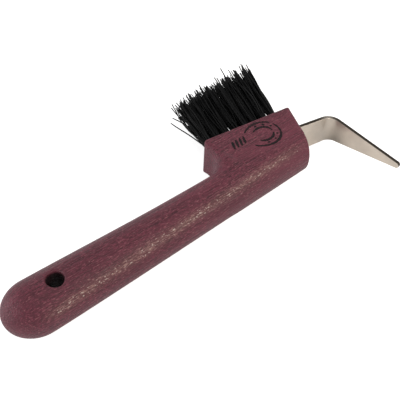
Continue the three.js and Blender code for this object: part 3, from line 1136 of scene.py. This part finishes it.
def add_area_light(name, direction, width, height, power, colour=WHITE[:3]):
    """A softbox in a direction from the middle of the object, facing it."""
    data = bpy.data.lights.new(name, "AREA")
    data.shape = "RECTANGLE"
    data.size, data.size_y = width, height
    data.energy = power
    data.color = colour
    light = bpy.data.objects.new(name, data)
    middle = (FRAME_BOX[0] + FRAME_BOX[1]) / 2
    way = Vector(direction).normalized()
    light.location = middle + way * LIGHT_DISTANCE
    light.rotation_mode = "QUATERNION"
    light.rotation_quaternion = (-way).to_track_quat("-Z", "Y")
    bpy.context.scene.collection.objects.link(light)


def add_surroundings():
    """Pale surroundings, very slightly darker overhead, which the camera sees as white."""
    world = bpy.data.worlds.new("studio")
    world.use_nodes = True
    tree = world.node_tree
    source = add_node(tree, "ShaderNodeTexCoord")
    parts = add_node(tree, "ShaderNodeSeparateXYZ")
    tree.links.new(source.outputs["Generated"], parts.inputs["Vector"])
    strength = add_node(tree, "ShaderNodeMapRange", {
        "From Min": 0.15, "From Max": 0.6,
        "To Min": HORIZON_STRENGTH, "To Max": OVERHEAD_STRENGTH},
        clamp=True, interpolation_type="SMOOTHSTEP")
    tree.links.new(parts.outputs["Z"], strength.inputs["Value"])
    seen = add_node(tree, "ShaderNodeLightPath").outputs["Is Camera Ray"]
    brightness = computed(tree, "MAXIMUM", strength.outputs["Result"], seen)
    background = tree.nodes["Background"]
    background.inputs["Color"].default_value = WHITE
    tree.links.new(brightness, background.inputs["Strength"])
    bpy.context.scene.world = world


def add_camera(settings):
    """The camera, above and behind the back of the handle, near its round end."""
    data = bpy.data.cameras.new("studio_camera")
    data.lens = settings.lens
    data.sensor_width = 36.0
    data.clip_start, data.clip_end = 0.01, 50.0
    camera = bpy.data.objects.new("studio_camera", data)
    spot, aim = place(*CAMERA_SPOT), place(*CAMERA_AIM)
    roll = Quaternion((0, 0, 1), math.radians(CAMERA_ROLL))
    camera.location = spot
    camera.rotation_mode = "QUATERNION"
    camera.rotation_quaternion = (aim - spot).to_track_quat("-Z", "Y") @ roll
    bpy.context.scene.collection.objects.link(camera)
    bpy.context.scene.camera = camera


class HOOFPICK_OT_studio(bpy.types.Operator):
    """Set the floor, the soft lights and the camera"""

    bl_idname = "hoofpick.studio"
    bl_label = "Studio"

    def execute(self, context):
        settings = context.scene.hoof_pick.studio
        context.scene.view_settings.view_transform = "Standard"
        add_surroundings()
        add_floor(settings)
        add_area_light("key_light", KEY_DIRECTION, 0.42, 0.10, settings.key_power, KEY_COLOUR)
        add_area_light("left_fill", FILL_DIRECTION, 0.50, 0.50, settings.fill_power)
        add_camera(settings)
        return {"FINISHED"}


# ---- Panel and registration ----

class HOOFPICK_PT_panel(bpy.types.Panel):
    """Sizes, colours and steps of the hoof pick"""

    bl_idname = "HOOFPICK_PT_panel"
    bl_label = "Hoof Pick"
    bl_space_type = "VIEW_3D"
    bl_region_type = "UI"
    bl_category = "Hoof Pick"

    def draw(self, context):
        settings = context.scene.hoof_pick
        for title, group in (
            ("Wood", settings.wood), ("Steel", settings.steel),
            ("Bristles", settings.bristles), ("Studio", settings.studio),
        ):
            box = self.layout.box()
            box.label(text=title)
            for name in group.__annotations__:
                box.prop(group, name)
        for operator in OPERATORS:
            self.layout.operator(operator.bl_idname)


GROUPS = (WoodSettings, SteelSettings, BristleSettings, StudioSettings, HoofPickSettings)
OPERATORS = (
    HOOFPICK_OT_studio,
    HOOFPICK_OT_body,
    HOOFPICK_OT_mark,
    HOOFPICK_OT_pick,
    HOOFPICK_OT_brush,
    HOOFPICK_OT_anchors,
)


def register():
    """Registers the settings, the operators and the panel."""
    for item in (*GROUPS, *OPERATORS, HOOFPICK_PT_panel):
        bpy.utils.register_class(item)
    bpy.types.Scene.hoof_pick = PointerProperty(type=HoofPickSettings)


def unregister():
    """Takes them away again."""
    del bpy.types.Scene.hoof_pick
    for item in reversed((*GROUPS, *OPERATORS, HOOFPICK_PT_panel)):
        bpy.utils.unregister_class(item)


def main():
    """Makes every piece and the studio, in order."""
    register()
    bpy.ops.hoofpick.studio()
    bpy.ops.hoofpick.body()
    bpy.ops.hoofpick.mark()
    bpy.ops.hoofpick.pick()
    bpy.ops.hoofpick.brush()
    bpy.ops.hoofpick.anchors()


if __name__ == "__main__":
    main()
